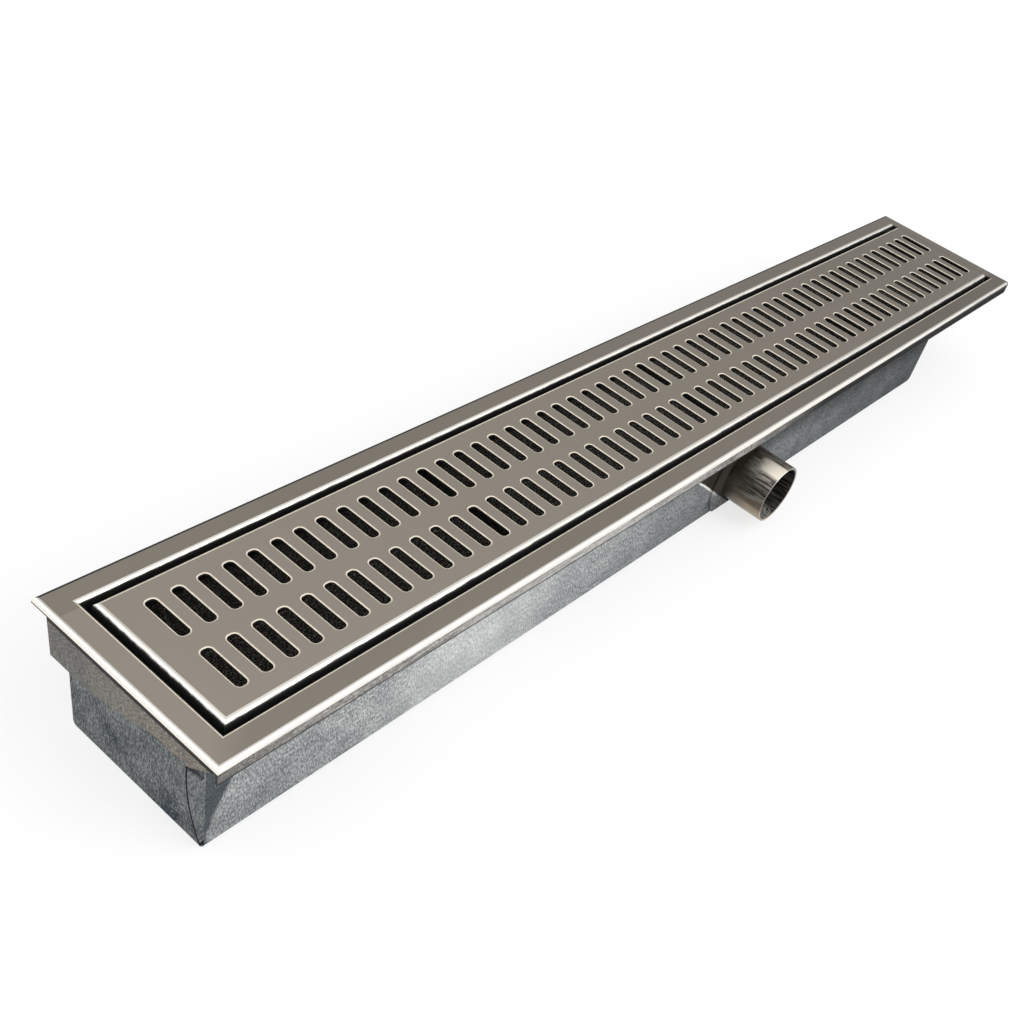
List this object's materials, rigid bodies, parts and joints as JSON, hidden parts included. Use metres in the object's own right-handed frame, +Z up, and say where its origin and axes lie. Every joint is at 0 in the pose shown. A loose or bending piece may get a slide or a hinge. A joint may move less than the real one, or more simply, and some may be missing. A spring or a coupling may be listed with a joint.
{
  "type": "linear drain with slotted grate",
  "caption": "Narrow linear floor drain: a slotted steel grate in a rolled-edge frame, over a galvanised trough with a round side outlet.",
  "frame": {"origin": "middle of the trough's bottom face, the face that the drain rests on", "axes": "+X along the drain from its skirted near end to its overhanging far end; +Z up, out of the grate; -Y the way the outlet pipe points"},
  "size_m": [0.85, 0.147, 0.078],
  "materials": {
    "brushed_stainless": "brushed, warm grey, with brighter rolled edges",
    "galvanised_steel": "dull blue-grey zinc, rough and mottled",
    "stained_steel": "brown-tinted steel with bright lengthwise scratches",
    "stained_collar": "dark heat-stained steel round the weld"
  },
  "bodies": {
    "root": {"frame": "brushed_stainless", "cover": "brushed_stainless", "cover_ribs": "brushed_stainless", "trough": "galvanised_steel", "near_end_plate": "galvanised_steel", "end_skirt": "galvanised_steel", "outlet_pipe": "stained_steel", "outlet_collar": "stained_collar"}
  },
  "joints": []
}
